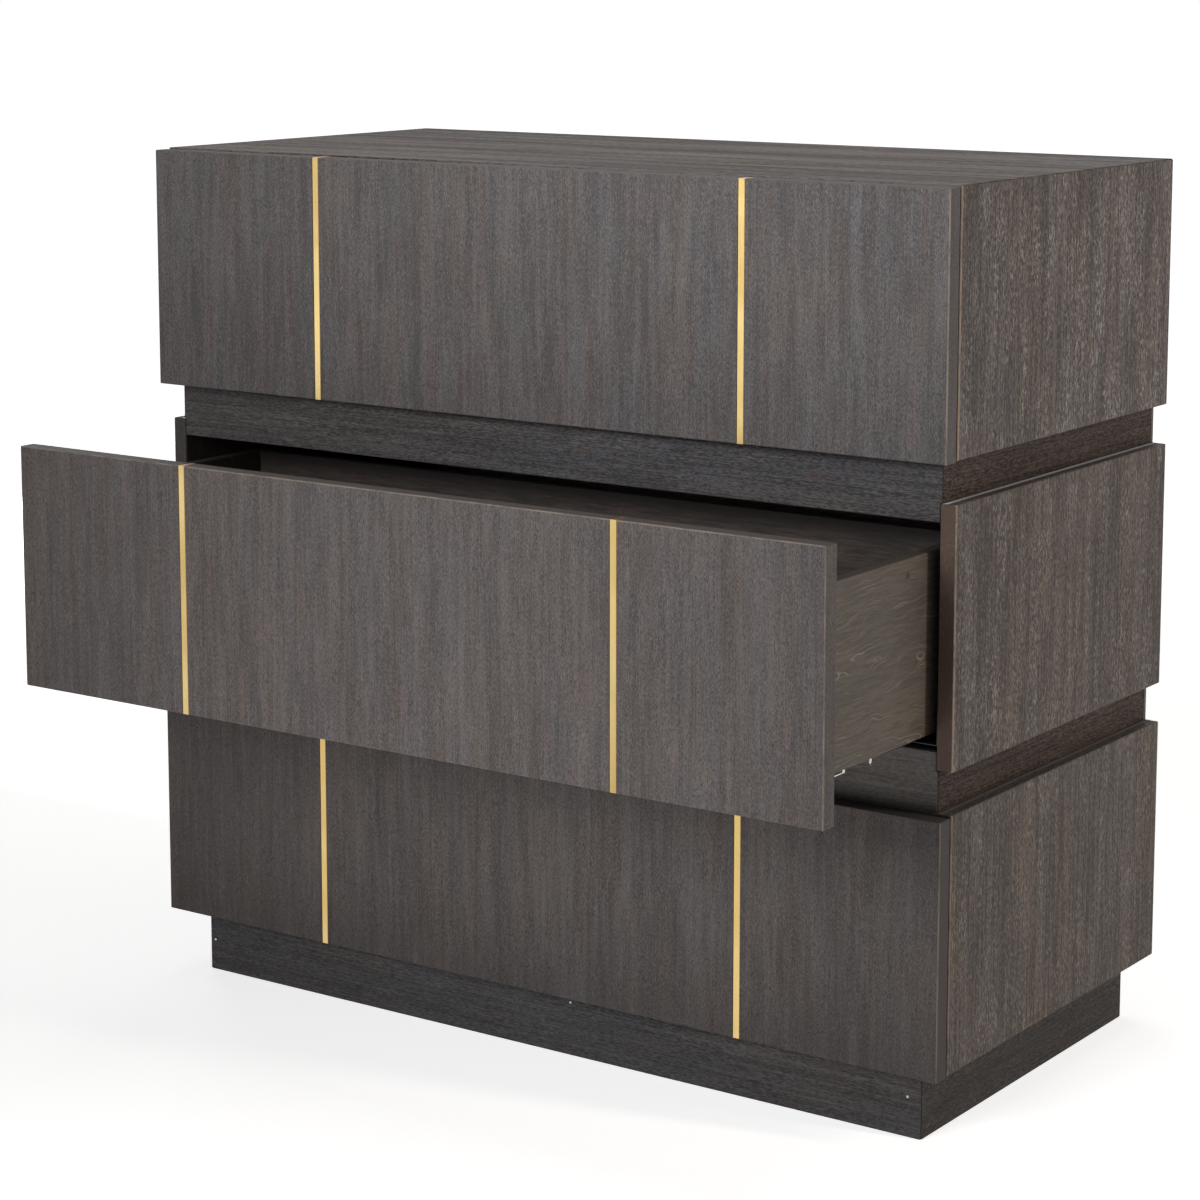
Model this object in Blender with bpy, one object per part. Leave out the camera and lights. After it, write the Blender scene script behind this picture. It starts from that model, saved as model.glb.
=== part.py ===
"""Accent chest with three full-width drawers.

Metres, +Z up, the front looks towards -Y. The origin is on the floor, under the
middle of the closed chest. The case is three tiers with a recessed band between
them, on a recessed plinth. The top is mitred to the upper side panels. Each drawer
has a slab front with two inlaid brass strips, plywood sides that slide into it with
dovetails, and a dovetailed back. It rides on a pair of three-part runners under the
box. The middle drawer stands open.
"""

import math

import bmesh
import bpy
from mathutils import Matrix, Vector

MM = 0.001

# Gap between pieces that are seated on each other
FIT = 0.3 * MM

# Case
CASE_WIDTH = 914 * MM
CASE_DEPTH = 424 * MM
PANEL_THICKNESS = 16 * MM
TIER_HEIGHT = 239 * MM
BAND_HEIGHT = 39 * MM
BAND_RECESS = 14 * MM
RAIL_THICKNESS = 20 * MM
RAIL_LAP = 17 * MM
BACK_THICKNESS = 5 * MM
RABBET_WIDTH = 8 * MM

# Plinth
PLINTH_HEIGHT = 69 * MM
PLINTH_THICKNESS = 18 * MM
PLINTH_SIDE_SETBACK = 30 * MM
PLINTH_FRONT_SETBACK = 8 * MM
PLINTH_BACK_SETBACK = 7 * MM
STRETCHER_THICKNESS = 18 * MM

# Drawer fronts and their brass inlays
FRONT_THICKNESS = 18 * MM
FRONT_GAP = 2 * MM
FRONT_DROP = 1.5 * MM
INLAY_OFFSET = 246.5 * MM
INLAY_WIDTH = 7 * MM
INLAY_THICKNESS = 2 * MM

# Drawer boxes
BOX_SIDE_CLEARANCE = 9 * MM
BOX_BOTTOM_CLEARANCE = 14 * MM
BOX_TOP_CLEARANCE = 26 * MM
BOX_WALL = 12 * MM
BOX_GROOVE_DEPTH = 6 * MM
BOX_BOTTOM_THICKNESS = 5 * MM
BOX_BOTTOM_LIFT = 13 * MM
BOX_PAST_RUNNER = 5 * MM

# Dovetails: the sides slide up into the front, and their tails hold the back
TENON_DEPTH = 8 * MM
TENON_NECK = 8 * MM
TAIL_COUNT = 4
TAIL_WIDTH = 26 * MM
DOVETAIL_SLOPE = 1 / 6

# Runners
RUNNER_LENGTH = 300 * MM
RUNNER_SETBACK = 2 * MM
STEEL = 1.2 * MM
CABINET_FLANGE_RISE = 22 * MM
CABINET_WEB_DROP = 9.5 * MM
CABINET_LIP = 6.5 * MM
MIDDLE_SETBACK = 5 * MM
MIDDLE_LENGTH = 280 * MM
MIDDLE_WIDTH = 24.4 * MM
MIDDLE_HEIGHT = 5.8 * MM
MIDDLE_LIP = 6 * MM
DRAWER_LEG_DROP = 5 * MM
DRAWER_PROFILE_END = 6 * MM
MIDDLE_TRAVEL_SHARE = 0.5

# Locking clips under the front corners of each box
CLIP_LENGTH = 40 * MM
CLIP_WIDTH = 33 * MM
CLIP_WING_LENGTH = 21 * MM
CLIP_WING_REACH = 11 * MM
CLIP_PLATE = 1.5 * MM
CLIP_LEVER_REACH = 8 * MM
CLIP_LEVER_LENGTH = 18 * MM
CLIP_LEVER_THICKNESS = 3 * MM
CLIP_SINK = 2 * MM

# How far each drawer stands out of the case
DRAWER_OPENING = {"lower": 0.0, "middle": 200 * MM, "upper": 0.0}

# Eased edges
PANEL_EASE = 0.8 * MM
FRONT_EASE = 1.0 * MM
BOX_EASE = 1.5 * MM
TRIM_EASE = 0.3 * MM
STEEL_EASE = 0.4 * MM
CONVEX_ANGLE = math.radians(30)
ALONG_COSINE = math.cos(math.radians(5))

# Cutters stand this far past the face that they cut
CUTTER_MARGIN = 2 * MM

# Sizes that follow from the ones above
TIERS = ("lower", "middle", "upper")
CASE_HALF = CASE_WIDTH / 2
TIER_STEP = TIER_HEIGHT + BAND_HEIGHT
CASE_HEIGHT = PLINTH_HEIGHT + len(TIERS) * TIER_HEIGHT + (len(TIERS) - 1) * BAND_HEIGHT
CASE_FRONT_Y = -(CASE_DEPTH - FRONT_GAP - FRONT_THICKNESS) / 2
WALL_X = CASE_HALF - PANEL_THICKNESS
BAND_X = CASE_HALF - BAND_RECESS
BACK_HALF = WALL_X + RABBET_WIDTH - FIT
INNER_DEPTH = CASE_DEPTH - BACK_THICKNESS - FIT
BOX_HALF = WALL_X - BOX_SIDE_CLEARANCE
BOX_DEPTH = RUNNER_LENGTH + BOX_PAST_RUNNER
BOX_FLOOR = RAIL_LAP + BOX_BOTTOM_CLEARANCE
BOX_HEIGHT = TIER_HEIGHT - 2 * RAIL_LAP - BOX_BOTTOM_CLEARANCE - BOX_TOP_CLEARANCE
BOX_TOP = BOX_FLOOR + BOX_HEIGHT
BOX_START = FIT - FRONT_GAP
BOX_END = BOX_DEPTH - FRONT_GAP
SEAT_LOW = BOX_FLOOR + BOX_BOTTOM_LIFT
SEAT_HIGH = SEAT_LOW + BOX_BOTTOM_THICKNESS
BOTTOM_HALF = BOX_HALF - BOX_WALL + BOX_GROOVE_DEPTH - FIT

FINISHES = {
    "veneer": ((0.088, 0.080, 0.076), 0.55, 0.0),
    "band_veneer": ((0.052, 0.048, 0.047), 0.60, 0.0),
    "box_plywood": ((0.100, 0.086, 0.072), 0.60, 0.0),
    "back_plywood": ((0.075, 0.062, 0.050), 0.75, 0.0),
    "softwood": ((0.420, 0.300, 0.180), 0.70, 0.0),
    "brass": ((0.830, 0.620, 0.270), 0.30, 1.0),
    "zinc_steel": ((0.560, 0.560, 0.550), 0.35, 1.0),
}


def clear_scene():
    for old in list(bpy.data.objects):
        bpy.data.objects.remove(old, do_unlink=True)


def tier_floor(index):
    """Height of the underside of a tier's side panels."""
    return PLINTH_HEIGHT + index * TIER_STEP


def finish_material(name, finish):
    colour, roughness, metallic = FINISHES[finish]
    material = bpy.data.materials.new(name + "_finish")
    material.use_nodes = True
    shader = material.node_tree.nodes["Principled BSDF"]
    shader.inputs["Base Color"].default_value = (*colour, 1.0)
    shader.inputs["Roughness"].default_value = roughness
    shader.inputs["Metallic"].default_value = metallic
    return material


def mesh_from(bm, name):
    bmesh.ops.recalc_face_normals(bm, faces=bm.faces[:])
    mesh = bpy.data.meshes.new(name)
    bm.to_mesh(mesh)
    bm.free()
    return mesh


def add_piece(name, shape, finish, location=(0, 0, 0), parent=None, turn=0.0):
    """Put a bmesh or a finished mesh in the scene under the piece's name."""
    mesh = mesh_from(shape, name) if isinstance(shape, bmesh.types.BMesh) else shape.copy()
    mesh.name = name
    mesh.materials.clear()
    mesh.materials.append(finish_material(name, finish))
    piece = bpy.data.objects.new(name, mesh)
    piece.location = location
    piece.rotation_euler.z = turn
    piece.parent = parent
    bpy.context.scene.collection.objects.link(piece)
    return piece


def add_slide(name, location):
    """An empty on a slide's axis, which carries the pieces that move along it."""
    slide = bpy.data.objects.new(name, None)
    slide.location = location
    bpy.context.scene.collection.objects.link(slide)
    return slide


def prism(outline, axis, low, high):
    """A flat outline swept along an axis. Its points are in the other two axes' order."""
    place = {
        "X": lambda a, b: (low, a, b),
        "Y": lambda a, b: (a, low, b),
        "Z": lambda a, b: (a, b, low),
    }[axis]
    step = {"X": (1, 0, 0), "Y": (0, 1, 0), "Z": (0, 0, 1)}[axis]
    bm = bmesh.new()
    corners = [bm.verts.new(place(a, b)) for a, b in outline]
    face = bm.faces.new(corners)
    swept = bmesh.ops.extrude_face_region(bm, geom=[face])
    moved = [item for item in swept["geom"] if isinstance(item, bmesh.types.BMVert)]
    bmesh.ops.translate(bm, verts=moved, vec=Vector(step) * (high - low))
    bmesh.ops.recalc_face_normals(bm, faces=bm.faces[:])
    return bm


def block(low, high):
    """A rectangular solid between two corners."""
    outline = [(low[0], low[1]), (high[0], low[1]), (high[0], high[1]), (low[0], high[1])]
    return prism(outline, "Z", low[2], high[2])


def mirrored(outline, side):
    """An outline of the right-hand piece, turned over for the left when side is -1."""
    return [(side * a, b) for a, b in outline]


def both_sides(half_outline):
    """A closed outline from its right half, listed from the bottom up."""
    return half_outline + [(-a, b) for a, b in reversed(half_outline)]


def slice_off(bm, point, normal):
    """Cut the solid with a plane, drop what lies beyond it and close the cut."""
    geometry = bm.verts[:] + bm.edges[:] + bm.faces[:]
    cut = bmesh.ops.bisect_plane(
        bm, geom=geometry, plane_co=point, plane_no=normal, clear_outer=True)
    rim = [item for item in cut["geom_cut"] if isinstance(item, bmesh.types.BMEdge)]
    bmesh.ops.holes_fill(bm, edges=rim)
    bmesh.ops.recalc_face_normals(bm, faces=bm.faces[:])
    return bm


def mitre(bm, corner, normal):
    """Slice at 45 degrees, half a fitting gap short of the corner."""
    direction = Vector(normal).normalized()
    return slice_off(bm, Vector(corner) - direction * FIT / 2, direction)


def ease_edges(bm, width, segments=1):
    """Take the sharpness off every outside edge."""
    bm.normal_update()
    sharp = [edge for edge in bm.edges if edge.calc_face_angle_signed(0.0) > CONVEX_ANGLE]
    bmesh.ops.bevel(
        bm, geom=sharp, offset=width, offset_type="OFFSET", segments=segments,
        profile=0.5, affect="EDGES", clamp_overlap=True)
    return bm


def round_top(bm, height, direction, width):
    """Round over the edges that run along a board's top face."""
    top = []
    for edge in bm.edges:
        start, end = (vert.co for vert in edge.verts)
        runs_along = abs((end - start).normalized().dot(Vector(direction))) > ALONG_COSINE
        if runs_along and min(start.z, end.z) > height - FIT:
            top.append(edge)
    bmesh.ops.bevel(
        bm, geom=top, offset=width, offset_type="OFFSET", segments=2,
        profile=0.5, affect="EDGES", clamp_overlap=True)
    return bm


def combine(base, tool, operation):
    """Join a second solid to the first, or cut it away, as one clean mesh."""
    base_piece = bpy.data.objects.new("base", mesh_from(base, "base"))
    tool_piece = bpy.data.objects.new("tool", mesh_from(tool, "tool"))
    scene_objects = bpy.context.scene.collection.objects
    scene_objects.link(base_piece)
    scene_objects.link(tool_piece)
    boolean = base_piece.modifiers.new("boolean", "BOOLEAN")
    boolean.operation = operation
    boolean.solver = "EXACT"
    boolean.object = tool_piece
    evaluated = base_piece.evaluated_get(bpy.context.evaluated_depsgraph_get())
    result = bmesh.new()
    result.from_mesh(evaluated.to_mesh())
    evaluated.to_mesh_clear()
    bpy.data.objects.remove(base_piece, do_unlink=True)
    bpy.data.objects.remove(tool_piece, do_unlink=True)
    return result


def build_top_panel():
    """The top runs over both sides and meets them in mitres, with a rabbet for the back."""
    rabbet_y = INNER_DEPTH
    profile = [
        (0, 0),
        (rabbet_y, 0),
        (rabbet_y, RABBET_WIDTH),
        (CASE_DEPTH, RABBET_WIDTH),
        (CASE_DEPTH, PANEL_THICKNESS),
        (0, PANEL_THICKNESS),
    ]
    panel = prism(profile, "X", -CASE_HALF, CASE_HALF)
    for side in (-1, 1):
        mitre(panel, (side * CASE_HALF, 0, PANEL_THICKNESS), (side, 0, -1))
    ease_edges(panel, PANEL_EASE)
    place = (0, CASE_FRONT_Y, CASE_HEIGHT - PANEL_THICKNESS)
    add_piece("top_panel", panel, "veneer", place)


def build_side_panel(tier, index, side, side_name):
    """A side panel with a rabbet for the back. The upper ones are mitred to the top."""
    rabbet_x = PANEL_THICKNESS - RABBET_WIDTH
    plan = [
        (0, 0),
        (0, CASE_DEPTH),
        (-rabbet_x, CASE_DEPTH),
        (-rabbet_x, INNER_DEPTH),
        (-PANEL_THICKNESS, INNER_DEPTH),
        (-PANEL_THICKNESS, 0),
    ]
    panel = prism(mirrored(plan, side), "Z", 0, TIER_HEIGHT)
    if tier == TIERS[-1]:
        mitre(panel, (0, 0, TIER_HEIGHT), (-side, 0, 1))
    ease_edges(panel, PANEL_EASE)
    place = (side * CASE_HALF, CASE_FRONT_Y, tier_floor(index))
    add_piece(f"{tier}_side_panel_{side_name}", panel, "veneer", place)


def build_band(band, index):
    """The recessed frame between two tiers. Its laps carry the side panels' edges."""
    centre_z = tier_floor(index) + TIER_HEIGHT + BAND_HEIGHT / 2
    half_band = BAND_HEIGHT / 2 - FIT
    half_rail = BAND_HEIGHT / 2 + RAIL_LAP
    lap_x = WALL_X - FIT

    face = both_sides([
        (lap_x, -half_rail),
        (lap_x, -half_band),
        (BAND_X, -half_band),
        (BAND_X, half_band),
        (lap_x, half_band),
        (lap_x, half_rail),
    ])
    front_rail = prism(face, "Y", 0, RAIL_THICKNESS)
    for side in (-1, 1):
        mitre(front_rail, (side * BAND_X, 0, 0), (side, 1, 0))
    ease_edges(front_rail, PANEL_EASE)
    add_piece(f"{band}_band_front_rail", front_rail, "band_veneer", (0, CASE_FRONT_Y, centre_z))

    lap = BAND_X - lap_x
    section = [
        (-RAIL_THICKNESS, -half_rail),
        (-lap, -half_rail),
        (-lap, -half_band),
        (0, -half_band),
        (0, half_band),
        (-lap, half_band),
        (-lap, half_rail),
        (-RAIL_THICKNESS, half_rail),
    ]
    for side, side_name in ((-1, "left"), (1, "right")):
        side_rail = prism(mirrored(section, side), "Y", 0, INNER_DEPTH)
        mitre(side_rail, (0, 0, 0), (-side, -1, 0))
        ease_edges(side_rail, PANEL_EASE)
        place = (side * BAND_X, CASE_FRONT_Y, centre_z)
        add_piece(f"{band}_band_side_rail_{side_name}", side_rail, "band_veneer", place)


def build_bottom_panel():
    half = WALL_X - FIT
    panel = block((-half, 0, 0), (half, INNER_DEPTH, PANEL_THICKNESS))
    ease_edges(panel, PANEL_EASE)
    add_piece("bottom_panel", panel, "back_plywood", (0, CASE_FRONT_Y, tier_floor(0)))


def build_back_panel():
    """One sheet in the rabbets of the tiers, notched in to the face of each band."""
    half_outline = [(BACK_HALF, 0)]
    for index in range(len(TIERS) - 1):
        band_low = index * TIER_STEP + TIER_HEIGHT
        band_high = band_low + BAND_HEIGHT
        half_outline += [
            (BACK_HALF, band_low),
            (BAND_X, band_low),
            (BAND_X, band_high),
            (BACK_HALF, band_high),
        ]
    top = CASE_HEIGHT - tier_floor(0) - PANEL_THICKNESS + RABBET_WIDTH - FIT
    half_outline.append((BACK_HALF, top))
    panel = prism(both_sides(half_outline), "Y", 0, BACK_THICKNESS)
    place = (0, CASE_FRONT_Y + CASE_DEPTH - BACK_THICKNESS, tier_floor(0))
    add_piece("back_panel", panel, "back_plywood", place)


def mitred_board(length, height):
    """A plinth board with its outer face on Y = 0 and both ends mitred."""
    outer = length / 2 - FIT / math.sqrt(2)
    inner = outer - PLINTH_THICKNESS
    plan = [(-outer, 0), (outer, 0), (inner, PLINTH_THICKNESS), (-inner, PLINTH_THICKNESS)]
    return ease_edges(prism(plan, "Z", 0, height), PANEL_EASE)


def build_plinth():
    half_width = CASE_HALF - PLINTH_SIDE_SETBACK
    front_y = CASE_FRONT_Y + PLINTH_FRONT_SETBACK
    back_y = CASE_FRONT_Y + CASE_DEPTH - PLINTH_BACK_SETBACK
    middle_y = (front_y + back_y) / 2
    height = PLINTH_HEIGHT - FIT

    boards = (
        ("plinth_front", 2 * half_width, (0, front_y, 0), 0),
        ("plinth_right", back_y - front_y, (half_width, middle_y, 0), 90),
        ("plinth_back", 2 * half_width, (0, back_y, 0), 180),
        ("plinth_left", back_y - front_y, (-half_width, middle_y, 0), 270),
    )
    for name, length, place, turn in boards:
        board = mitred_board(length, height)
        add_piece(name, board, "band_veneer", place, turn=math.radians(turn))

    inner_front = front_y + PLINTH_THICKNESS + FIT
    inner_back = back_y - PLINTH_THICKNESS - FIT
    half_stretcher = STRETCHER_THICKNESS / 2
    stretcher = block((-half_stretcher, inner_front, 0), (half_stretcher, inner_back, height))
    add_piece("plinth_stretcher", ease_edges(stretcher, PANEL_EASE), "softwood")


def inlay_outline(depth, reach):
    """Side view of a band that wraps a drawer front: its top edge, face and bottom edge.

    The band is as thick as depth, and stands out of the front by reach.
    """
    face = -FRONT_GAP - FRONT_THICKNESS
    back = reach - FRONT_GAP
    low = -FRONT_DROP
    high = TIER_HEIGHT - FRONT_DROP
    return [
        (back, low - reach),
        (face - reach, low - reach),
        (face - reach, high + reach),
        (back, high + reach),
        (back, high - depth),
        (face + depth, high - depth),
        (face + depth, low + depth),
        (back, low + depth),
    ]


def tenon_outline(side, grow):
    """Plan of the sliding dovetail on a box side's front end, or its housing when grown."""
    centre = side * (BOX_HALF - BOX_WALL / 2)
    neck = TENON_NECK / 2 + grow
    tip = neck + TENON_DEPTH * DOVETAIL_SLOPE
    tip_y = -FRONT_GAP - TENON_DEPTH + FIT - grow
    neck_y = -FRONT_GAP
    root_y = neck_y + CUTTER_MARGIN
    return [
        (centre - tip, tip_y),
        (centre + tip, tip_y),
        (centre + neck, neck_y),
        (centre + neck, root_y),
        (centre - neck, root_y),
        (centre - neck, neck_y),
    ]


def build_drawer_front(tier, slide):
    """The slab front: grooved round for the brass, housed and grooved behind for the box."""
    front = block(
        (-CASE_HALF, -FRONT_GAP - FRONT_THICKNESS, -FRONT_DROP),
        (CASE_HALF, -FRONT_GAP, TIER_HEIGHT - FRONT_DROP))
    ease_edges(front, FRONT_EASE, segments=2)

    strip_groove = inlay_outline(INLAY_THICKNESS + FIT, CUTTER_MARGIN)
    groove_half = INLAY_WIDTH / 2 + FIT
    for side in (-1, 1):
        centre = side * INLAY_OFFSET
        cutter = prism(strip_groove, "X", centre - groove_half, centre + groove_half)
        front = combine(front, cutter, "DIFFERENCE")
        housing = prism(tenon_outline(side, FIT), "Z", -FRONT_DROP - CUTTER_MARGIN, BOX_TOP + FIT)
        front = combine(front, housing, "DIFFERENCE")
    bottom_groove = block(
        (-BOTTOM_HALF - FIT, -FRONT_GAP - BOX_GROOVE_DEPTH, SEAT_LOW - FIT),
        (BOTTOM_HALF + FIT, -FRONT_GAP + CUTTER_MARGIN, SEAT_HIGH + FIT))
    front = combine(front, bottom_groove, "DIFFERENCE")
    add_piece(f"{tier}_drawer_front", front, "veneer", parent=slide)

    for side, side_name in ((-1, "left"), (1, "right")):
        strip = prism(inlay_outline(INLAY_THICKNESS, 0), "X", -INLAY_WIDTH / 2, INLAY_WIDTH / 2)
        ease_edges(strip, TRIM_EASE)
        name = f"{tier}_drawer_inlay_{side_name}"
        add_piece(name, strip, "brass", (side * INLAY_OFFSET, 0, 0), slide)


def tail_corners(number, grow, end_y):
    """Side view of one tail: narrow at its root, wide at the end of the box side."""
    back_low = SEAT_HIGH + FIT
    pitch = (BOX_TOP - back_low) / TAIL_COUNT
    centre = back_low + pitch * (number + 0.5)
    root_y = BOX_END - BOX_WALL - FIT
    end_half = TAIL_WIDTH / 2 + grow + (end_y - BOX_END) * DOVETAIL_SLOPE
    root_half = end_half - (end_y - root_y) * DOVETAIL_SLOPE
    return [
        (root_y, centre - root_half),
        (end_y, centre - end_half),
        (end_y, centre + end_half),
        (root_y, centre + root_half),
    ]


def build_box_side(tier, slide, side, side_name):
    """A box side: sliding dovetail in front, tails behind, and a groove for the bottom."""
    root_y = BOX_END - BOX_WALL - FIT
    outline = [
        (BOX_START, BOX_FLOOR),
        (BOX_END, BOX_FLOOR),
        (BOX_END, SEAT_HIGH),
        (root_y, SEAT_HIGH),
    ]
    for number in range(TAIL_COUNT):
        outline += tail_corners(number, 0, BOX_END)
    outline += [(root_y, BOX_TOP), (BOX_START, BOX_TOP)]
    faces_x = sorted((side * BOX_HALF, side * (BOX_HALF - BOX_WALL)))
    board = prism(outline, "X", faces_x[0], faces_x[1])
    round_top(board, BOX_TOP, (0, 1, 0), BOX_EASE)

    tenon = prism(tenon_outline(side, 0), "Z", BOX_FLOOR + BOX_EASE, BOX_TOP - BOX_EASE)
    board = combine(board, tenon, "UNION")
    groove_x = sorted((
        side * (BOX_HALF - BOX_WALL - CUTTER_MARGIN),
        side * (BOX_HALF - BOX_WALL + BOX_GROOVE_DEPTH)))
    groove = block(
        (groove_x[0], BOX_START - TENON_DEPTH - CUTTER_MARGIN, SEAT_LOW - FIT),
        (groove_x[1], BOX_END + CUTTER_MARGIN, SEAT_HIGH + FIT))
    board = combine(board, groove, "DIFFERENCE")
    add_piece(f"{tier}_drawer_box_{side_name}", board, "box_plywood", parent=slide)


def build_box_back(tier, slide):
    """The back stands on the bottom, with sockets for the sides' tails cut in both ends."""
    back = block(
        (-BOX_HALF, BOX_END - BOX_WALL, SEAT_HIGH + FIT),
        (BOX_HALF, BOX_END, BOX_TOP))
    round_top(back, BOX_TOP, (1, 0, 0), BOX_EASE)
    for side in (-1, 1):
        socket_x = sorted((
            side * (BOX_HALF - BOX_WALL - FIT),
            side * (BOX_HALF + CUTTER_MARGIN)))
        for number in range(TAIL_COUNT):
            corners = tail_corners(number, FIT, BOX_END + CUTTER_MARGIN)
            socket = prism(corners, "X", socket_x[0], socket_x[1])
            back = combine(back, socket, "DIFFERENCE")
    add_piece(f"{tier}_drawer_box_back", back, "box_plywood", parent=slide)


def build_drawer_box(tier, slide):
    for side, side_name in ((-1, "left"), (1, "right")):
        build_box_side(tier, slide, side, side_name)
    build_box_back(tier, slide)
    bottom = block(
        (-BOTTOM_HALF, -FRONT_GAP - BOX_GROOVE_DEPTH + FIT, SEAT_LOW),
        (BOTTOM_HALF, BOX_END, SEAT_HIGH))
    add_piece(f"{tier}_drawer_box_bottom", bottom, "box_plywood", parent=slide)


def middle_profile_x():
    """How far in from the side wall the middle profile starts and ends."""
    start = BOX_SIDE_CLEARANCE + BOX_WALL + STEEL + 2 * FIT
    return start, start + MIDDLE_WIDTH


def drawer_profile_x():
    """The drawer profile straddles the middle one."""
    start, end = middle_profile_x()
    return start - FIT - STEEL, end + FIT + STEEL


def from_wall(outline, side):
    """An outline measured in from the side wall and up from the box floor, put in place."""
    return [(side * (WALL_X - a), BOX_FLOOR + b) for a, b in outline]


def cabinet_profile(side):
    """Steel angle on the side wall: a screw flange, a web under the box and an inner lip."""
    lip_x = drawer_profile_x()[1] + FIT
    low = -CABINET_WEB_DROP
    outline = [
        (FIT, low),
        (lip_x + STEEL, low),
        (lip_x + STEEL, low + CABINET_LIP),
        (lip_x, low + CABINET_LIP),
        (lip_x, low + STEEL),
        (FIT + STEEL, low + STEEL),
        (FIT + STEEL, CABINET_FLANGE_RISE),
        (FIT, CABINET_FLANGE_RISE),
    ]
    profile = prism(from_wall(outline, side), "Y", RUNNER_SETBACK, RUNNER_SETBACK + RUNNER_LENGTH)
    return ease_edges(profile, STEEL_EASE)


def middle_profile(side):
    """Lipped channel that runs between the other two and moves half as far as the drawer."""
    start, end = middle_profile_x()
    low = -CABINET_WEB_DROP + STEEL + FIT
    high = low + MIDDLE_HEIGHT
    outline = [
        (start, low),
        (end, low),
        (end, high),
        (end - MIDDLE_LIP, high),
        (end - MIDDLE_LIP, high - STEEL),
        (end - STEEL, high - STEEL),
        (end - STEEL, low + STEEL),
        (start + STEEL, low + STEEL),
        (start + STEEL, high - STEEL),
        (start + MIDDLE_LIP, high - STEEL),
        (start + MIDDLE_LIP, high),
        (start, high),
    ]
    return prism(from_wall(outline, side), "Y", MIDDLE_SETBACK, MIDDLE_SETBACK + MIDDLE_LENGTH)


def drawer_profile(side):
    """Inverted channel under the box bottom, with the locking clip at its front end."""
    start, end = drawer_profile_x()
    high = BOX_BOTTOM_LIFT - FIT
    outline = [
        (start, -DRAWER_LEG_DROP),
        (start + STEEL, -DRAWER_LEG_DROP),
        (start + STEEL, high - STEEL),
        (end - STEEL, high - STEEL),
        (end - STEEL, -DRAWER_LEG_DROP),
        (end, -DRAWER_LEG_DROP),
        (end, high),
        (start, high),
    ]
    front_end = BOX_START + CLIP_LENGTH
    back_end = BOX_END - DRAWER_PROFILE_END
    channel = prism(from_wall(outline, side), "Y", front_end, back_end)
    return combine(channel, locking_clip(side), "UNION")


def clip_block(side, from_x, to_x, low, high):
    """One part of the clip: distances in from the wall, then along and up from the box."""
    faces_x = sorted((side * (WALL_X - from_x), side * (WALL_X - to_x)))
    return block(
        (faces_x[0], BOX_START + low[0], BOX_FLOOR + low[1]),
        (faces_x[1], BOX_START + high[0], BOX_FLOOR + high[1]))


def locking_clip(side):
    """A body behind the front, a wing under the box side and a release lever."""
    body_start = drawer_profile_x()[0] + FIT
    body_end = body_start + CLIP_WIDTH
    low = -FIT - CLIP_PLATE
    high = BOX_BOTTOM_LIFT - 2 * FIT
    clip = clip_block(
        side, body_start, body_end, (0, low), (CLIP_LENGTH + CLIP_SINK, high))
    wing = clip_block(
        side, body_start - CLIP_WING_REACH, body_start + CLIP_SINK,
        (0, low), (CLIP_WING_LENGTH, -FIT))
    lever_front = (CLIP_LENGTH - CLIP_LEVER_LENGTH) / 2
    lever_low = (low + high - CLIP_LEVER_THICKNESS) / 2
    lever = clip_block(
        side, body_end - CLIP_SINK, body_end + CLIP_LEVER_REACH,
        (lever_front, lever_low),
        (lever_front + CLIP_LEVER_LENGTH, lever_low + CLIP_LEVER_THICKNESS))
    return combine(combine(clip, wing, "UNION"), lever, "UNION")


def build_drawer(tier, index):
    """One drawer on its slide, its middle runner profiles on theirs, and the fixed ones."""
    opening = DRAWER_OPENING[tier]
    slide = add_slide(f"{tier}_drawer_slide", (0, CASE_FRONT_Y - opening, tier_floor(index)))
    build_drawer_front(tier, slide)
    build_drawer_box(tier, slide)

    runner_y = CASE_FRONT_Y - MIDDLE_TRAVEL_SHARE * opening
    runner_slide = add_slide(f"{tier}_runner_slide", (0, runner_y, tier_floor(index)))
    case_place = (0, CASE_FRONT_Y, tier_floor(index))
    for side, side_name in ((-1, "left"), (1, "right")):
        name = f"{tier}_runner_drawer_profile_{side_name}"
        add_piece(name, drawer_profile(side), "zinc_steel", parent=slide)
        name = f"{tier}_runner_middle_profile_{side_name}"
        add_piece(name, middle_profile(side), "zinc_steel", parent=runner_slide)
        name = f"{tier}_runner_cabinet_profile_{side_name}"
        add_piece(name, cabinet_profile(side), "zinc_steel", case_place)


def build_chest():
    clear_scene()
    build_top_panel()
    for index, tier in enumerate(TIERS):
        for side, side_name in ((-1, "left"), (1, "right")):
            build_side_panel(tier, index, side, side_name)
    build_band("lower", 0)
    build_band("upper", 1)
    build_bottom_panel()
    build_back_panel()
    build_plinth()
    for index, tier in enumerate(TIERS):
        build_drawer(tier, index)


build_chest()
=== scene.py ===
"""Looks of the accent chest: finishes, small hardware, studio and camera."""

import math

import bmesh
import bpy
from mathutils import Matrix, Vector


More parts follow.
